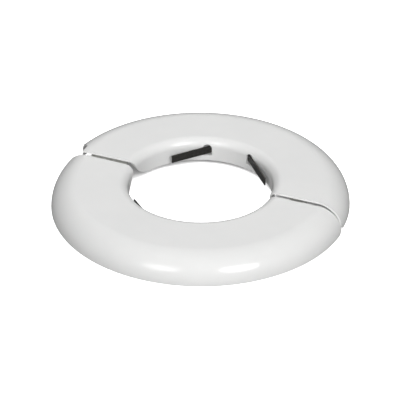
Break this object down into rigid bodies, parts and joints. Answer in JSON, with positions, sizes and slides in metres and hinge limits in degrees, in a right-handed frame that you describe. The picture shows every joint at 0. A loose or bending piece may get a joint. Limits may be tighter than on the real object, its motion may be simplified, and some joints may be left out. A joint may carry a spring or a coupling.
{
  "type": "pipe rosette",
  "caption": "Hinged round cover plate of white enamelled sheet steel that closes round a pipe where it passes a wall or floor, with a turned-down collar and spring strips that grip the pipe.",
  "frame": {"origin": "on the pipe's axis, in the plane of the front half's rim", "axes": "+Z out of the wall along the pipe; +X along the seam towards the latch; +Y towards the middle of the rear half, the one that swings"},
  "size_m": [0.1016, 0.1016, 0.0099],
  "materials": {
    "enamel": "glossy white enamel",
    "spring_steel": "black oxide, semi-gloss",
    "plated_steel": "zinc plated"
  },
  "bodies": {
    "front": {"front_half": "enamel", "front_spring": "spring_steel", "hinge_strap": "plated_steel", "latch_tongue": "plated_steel"},
    "rear": {"rear_half": "enamel", "rear_spring": "spring_steel", "hinge_stud": "plated_steel", "latch_keeper": "plated_steel"}
  },
  "joints": [
    {"name": "hinge", "type": "hinge", "parent": "front", "child": "rear", "pos_m": [-0.039, 0.0042, 0.009], "axis": [0, 0, 1], "range_deg": [0, 50]}
  ]
}
